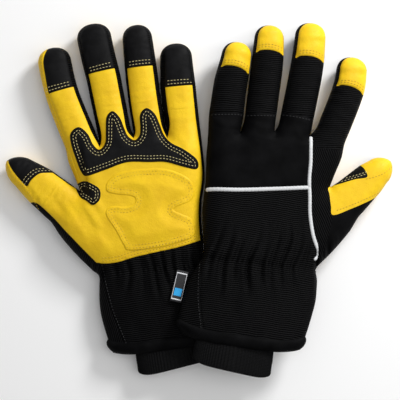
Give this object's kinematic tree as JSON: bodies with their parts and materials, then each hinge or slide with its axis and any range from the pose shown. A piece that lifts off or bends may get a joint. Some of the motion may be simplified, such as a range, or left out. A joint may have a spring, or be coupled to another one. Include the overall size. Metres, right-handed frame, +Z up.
{
  "type": "insulated work gloves",
  "caption": "Pair of insulated work gloves with leather palms, bending fingers and thumbs, wide gauntlets with an elastic hem, and knit wrists.",
  "frame": {"origin": "centre of the pair on the surface it lies on", "axes": "+Z up, away from the surface; +Y towards the fingertips; +X from glove 1, palm up, towards glove 2, back up"},
  "size_m": [0.351, 0.3202, 0.0397],
  "materials": {
    "yellow_leather": "grain leather, soft sheen",
    "black_leather": "matte synthetic leather",
    "rib_fabric": "ribbed stretch fabric",
    "plain_fabric": "fine matte fabric",
    "knit": "rib knit",
    "piping": "pale woven piping",
    "lining": "brushed fleece lining"
  },
  "bodies": {
    "glove1_hand": {"glove1_palm_leather": "yellow_leather", "glove1_palm_grip_patch": "black_leather", "glove1_heel_pad": "yellow_leather", "glove1_thumb_crotch_patch": "black_leather", "glove1_hand_back_panel": "plain_fabric", "glove1_lower_back_panel": "rib_fabric", "glove1_piping": "piping", "glove1_gauntlet": "rib_fabric", "glove1_gauntlet_binding": "plain_fabric", "glove1_knit_cuff": "knit", "glove1_thermal_liner": "lining"},
    "glove1_index_finger": {"glove1_index_front_leather": "yellow_leather", "glove1_index_back_panel": "rib_fabric"},
    "glove1_index_tip": {"glove1_index_tip_overlay": "black_leather", "glove1_index_tip_cap": "yellow_leather"},
    "glove1_middle_finger": {"glove1_middle_front_leather": "yellow_leather", "glove1_middle_back_panel": "rib_fabric"},
    "glove1_middle_tip": {"glove1_middle_tip_overlay": "black_leather", "glove1_middle_tip_cap": "yellow_leather"},
    "glove1_ring_finger": {"glove1_ring_front_leather": "yellow_leather", "glove1_ring_back_panel": "rib_fabric"},
    "glove1_ring_tip": {"glove1_ring_tip_overlay": "black_leather", "glove1_ring_tip_cap": "yellow_leather"},
    "glove1_little_finger": {"glove1_little_front_leather": "yellow_leather", "glove1_little_back_panel": "rib_fabric"},
    "glove1_little_tip": {"glove1_little_tip_overlay": "black_leather", "glove1_little_tip_cap": "yellow_leather"},
    "glove1_thumb": {"glove1_thumb_front_leather": "yellow_leather", "glove1_thumb_back_panel": "plain_fabric"},
    "glove1_thumb_tip": {"glove1_thumb_tip": "yellow_leather"},
    "glove2_hand": {"glove2_palm_leather": "yellow_leather", "glove2_palm_grip_patch": "black_leather", "glove2_heel_pad": "yellow_leather", "glove2_thumb_crotch_patch": "black_leather", "glove2_hand_back_panel": "plain_fabric", "glove2_lower_back_panel": "rib_fabric", "glove2_piping": "piping", "glove2_gauntlet": "rib_fabric", "glove2_gauntlet_binding": "plain_fabric", "glove2_knit_cuff": "knit", "glove2_thermal_liner": "lining"},
    "glove2_index_finger": {"glove2_index_front_leather": "yellow_leather", "glove2_index_back_panel": "rib_fabric"},
    "glove2_index_tip": {"glove2_index_tip_overlay": "black_leather", "glove2_index_tip_cap": "yellow_leather"},
    "glove2_middle_finger": {"glove2_middle_front_leather": "yellow_leather", "glove2_middle_back_panel": "rib_fabric"},
    "glove2_middle_tip": {"glove2_middle_tip_overlay": "black_leather", "glove2_middle_tip_cap": "yellow_leather"},
    "glove2_ring_finger": {"glove2_ring_front_leather": "yellow_leather", "glove2_ring_back_panel": "rib_fabric"},
    "glove2_ring_tip": {"glove2_ring_tip_overlay": "black_leather", "glove2_ring_tip_cap": "yellow_leather"},
    "glove2_little_finger": {"glove2_little_front_leather": "yellow_leather", "glove2_little_back_panel": "rib_fabric"},
    "glove2_little_tip": {"glove2_little_tip_overlay": "black_leather", "glove2_little_tip_cap": "yellow_leather"},
    "glove2_thumb": {"glove2_thumb_front_leather": "yellow_leather", "glove2_thumb_back_panel": "plain_fabric"},
    "glove2_thumb_tip": {"glove2_thumb_tip": "yellow_leather"}
  },
  "joints": [
    {"name": "glove1_index_knuckle", "type": "hinge", "parent": "glove1_hand", "child": "glove1_index_finger", "pos_m": [-0.10836, 0.04871, 0.02], "axis": [0.9903, 0.1392, 0], "range_deg": [0, 80]},
    {"name": "glove1_index_tip_bend", "type": "hinge", "parent": "glove1_index_finger", "child": "glove1_index_tip", "pos_m": [-0.12738, 0.09855, 0.02], "axis": [0.9903, 0.1392, 0], "range_deg": [0, 90]},
    {"name": "glove1_middle_knuckle", "type": "hinge", "parent": "glove1_hand", "child": "glove1_middle_finger", "pos_m": [-0.07667, 0.05316, 0.02], "axis": [0.9903, 0.1392, 0], "range_deg": [0, 80]},
    {"name": "glove1_middle_tip_bend", "type": "hinge", "parent": "glove1_middle_finger", "child": "glove1_middle_tip", "pos_m": [-0.08954, 0.11598, 0.02], "axis": [0.9903, 0.1392, 0], "range_deg": [0, 90]},
    {"name": "glove1_ring_knuckle", "type": "hinge", "parent": "glove1_hand", "child": "glove1_ring_finger", "pos_m": [-0.04598, 0.05748, 0.02], "axis": [0.9903, 0.1392, 0], "range_deg": [0, 80]},
    {"name": "glove1_ring_tip_bend", "type": "hinge", "parent": "glove1_ring_finger", "child": "glove1_ring_tip", "pos_m": [-0.05356, 0.12003, 0.02], "axis": [0.9903, 0.1392, 0], "range_deg": [0, 90]},
    {"name": "glove1_little_knuckle", "type": "hinge", "parent": "glove1_hand", "child": "glove1_little_finger", "pos_m": [-0.01627, 0.06165, 0.02], "axis": [0.9903, 0.1392, 0], "range_deg": [0, 80]},
    {"name": "glove1_little_tip_bend", "type": "hinge", "parent": "glove1_little_finger", "child": "glove1_little_tip", "pos_m": [-0.0192, 0.10264, 0.02], "axis": [0.9903, 0.1392, 0], "range_deg": [0, 90]},
    {"name": "glove1_thumb_base", "type": "hinge", "parent": "glove1_hand", "child": "glove1_thumb", "pos_m": [-0.12132, -0.00714, 0.02], "axis": [0.6313, 0.7755, 0], "range_deg": [0, 50]},
    {"name": "glove1_thumb_tip_bend", "type": "hinge", "parent": "glove1_thumb", "child": "glove1_thumb_tip", "pos_m": [-0.14845, 0.01496, 0.02], "axis": [0.6313, 0.7755, 0], "range_deg": [0, 70]},
    {"name": "glove2_lift_off", "type": "slide", "parent": "glove1_hand", "child": "glove2_hand", "axis": [0, 0, 1], "range_m": [0, 0.15]},
    {"name": "glove2_index_knuckle", "type": "hinge", "parent": "glove2_hand", "child": "glove2_index_finger", "pos_m": [0.11293, 0.05171, 0.00693], "axis": [-0.9872, 0.1475, 0.0611], "range_deg": [0, 80]},
    {"name": "glove2_index_tip_bend", "type": "hinge", "parent": "glove2_index_finger", "child": "glove2_index_tip", "pos_m": [0.13219, 0.10134, 0.00349], "axis": [-0.9872, 0.1475, 0.0611], "range_deg": [0, 90]},
    {"name": "glove2_middle_knuckle", "type": "hinge", "parent": "glove2_hand", "child": "glove2_middle_finger", "pos_m": [0.08134, 0.05643, 0.00889], "axis": [-0.9872, 0.1475, 0.0611], "range_deg": [0, 80]},
    {"name": "glove2_middle_tip_bend", "type": "hinge", "parent": "glove2_middle_finger", "child": "glove2_middle_tip", "pos_m": [0.09453, 0.11908, 0.0053], "axis": [-0.9872, 0.1475, 0.0611], "range_deg": [0, 90]},
    {"name": "glove2_ring_knuckle", "type": "hinge", "parent": "glove2_hand", "child": "glove2_ring_finger", "pos_m": [0.05073, 0.061, 0.01078], "axis": [-0.9872, 0.1475, 0.0611], "range_deg": [0, 80]},
    {"name": "glove2_ring_tip_bend", "type": "hinge", "parent": "glove2_ring_finger", "child": "glove2_ring_tip", "pos_m": [0.05865, 0.12343, 0.00756], "axis": [-0.9872, 0.1475, 0.0611], "range_deg": [0, 90]},
    {"name": "glove2_little_knuckle", "type": "hinge", "parent": "glove2_hand", "child": "glove2_little_finger", "pos_m": [0.02112, 0.06543, 0.01261], "axis": [-0.9872, 0.1475, 0.0611], "range_deg": [0, 80]},
    {"name": "glove2_little_tip_bend", "type": "hinge", "parent": "glove2_little_finger", "child": "glove2_little_tip", "pos_m": [0.02428, 0.10636, 0.01064], "axis": [-0.9872, 0.1475, 0.0611], "range_deg": [0, 90]},
    {"name": "glove2_thumb_base", "type": "hinge", "parent": "glove2_hand", "child": "glove2_thumb", "pos_m": [0.12553, -0.00419, 0.00847], "axis": [-0.6255, 0.7802, 0.0092], "range_deg": [0, 50]},
    {"name": "glove2_thumb_tip_bend", "type": "hinge", "parent": "glove2_thumb", "child": "glove2_thumb_tip", "pos_m": [0.15273, 0.01764, 0.00568], "axis": [-0.6255, 0.7802, 0.0092], "range_deg": [0, 70]}
  ]
}
